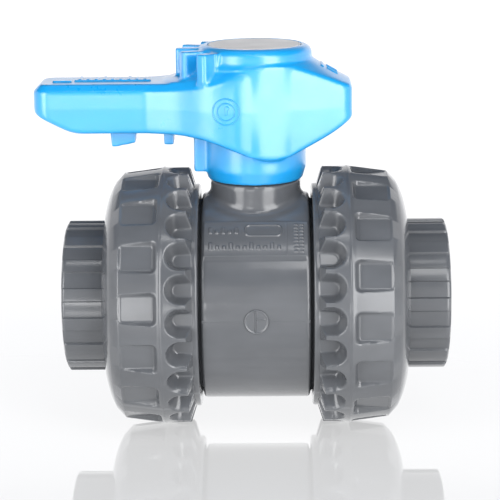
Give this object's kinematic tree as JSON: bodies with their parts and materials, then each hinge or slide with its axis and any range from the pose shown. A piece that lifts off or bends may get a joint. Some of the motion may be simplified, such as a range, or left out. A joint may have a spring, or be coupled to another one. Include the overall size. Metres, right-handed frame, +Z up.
{
  "type": "union ball valve",
  "caption": "Plastic union ball valve: grey body with finger-scalloped union nuts, blue lever handle with a round cap, and plain sockets for solvent-weld pipe.",
  "frame": {"origin": "centre of the ball, on the axis of the flow bore", "axes": "+X along the pipe towards the right-hand socket, +Z up the stem towards the lever"},
  "size_m": [0.1136, 0.072, 0.107],
  "materials": {
    "pvc_grey": "moulded, semi-gloss",
    "ball_pvc": "turned and polished",
    "handle_blue": "moulded, glossy",
    "cap_beige": "satin",
    "ptfe_white": "waxy",
    "rubber_black": "smooth",
    "steel": "pan head, plain"
  },
  "bodies": {
    "valve_body": {"body": "pvc_grey", "seat_carrier": "pvc_grey", "ball_seat_left": "ptfe_white", "ball_seat_right": "ptfe_white", "seat_oring_left": "rubber_black", "seat_oring_right": "rubber_black", "carrier_oring": "rubber_black"},
    "ball": {"ball": "ball_pvc"},
    "lever": {"stem": "pvc_grey", "stem_oring_lower": "rubber_black", "stem_oring_upper": "rubber_black", "lever_handle": "handle_blue", "handle_cap": "cap_beige", "handle_screw": "steel", "handle_washer": "steel"},
    "connector_left": {"end_connector_left": "pvc_grey", "face_oring_left": "rubber_black"},
    "connector_right": {"end_connector_right": "pvc_grey", "face_oring_right": "rubber_black"},
    "nut_left": {"union_nut_left": "pvc_grey"},
    "nut_right": {"union_nut_right": "pvc_grey"}
  },
  "joints": [
    {"name": "lever_turn", "type": "hinge", "parent": "valve_body", "child": "lever", "pos_m": [0, 0, 0.05], "axis": [0, 0, -1], "range_deg": [0, 90]},
    {"name": "ball_turn", "type": "hinge", "parent": "valve_body", "child": "ball", "pos_m": [0, 0, 0], "axis": [0, 0, -1], "range_deg": [0, 90]},
    {"name": "connector_left_slide", "type": "slide", "parent": "valve_body", "child": "connector_left", "axis": [-1, 0, 0], "range_m": [0, 0.008]},
    {"name": "nut_left_turn", "type": "hinge", "parent": "connector_left", "child": "nut_left", "pos_m": [-0.03, 0, 0], "axis": [-1, 0, 0], "range_deg": [0, 720]},
    {"name": "connector_right_slide", "type": "slide", "parent": "valve_body", "child": "connector_right", "axis": [1, 0, 0], "range_m": [0, 0.008]},
    {"name": "nut_right_turn", "type": "hinge", "parent": "connector_right", "child": "nut_right", "pos_m": [0.03, 0, 0], "axis": [1, 0, 0], "range_deg": [0, 720]}
  ],
  "couplings": [
    {"joint": "ball_turn", "follows": "lever_turn", "ratio": 1},
    {"joint": "connector_left_slide", "follows": "nut_left_turn", "m_per_rad": 0.00063662},
    {"joint": "connector_right_slide", "follows": "nut_right_turn", "m_per_rad": 0.00063662}
  ]
}
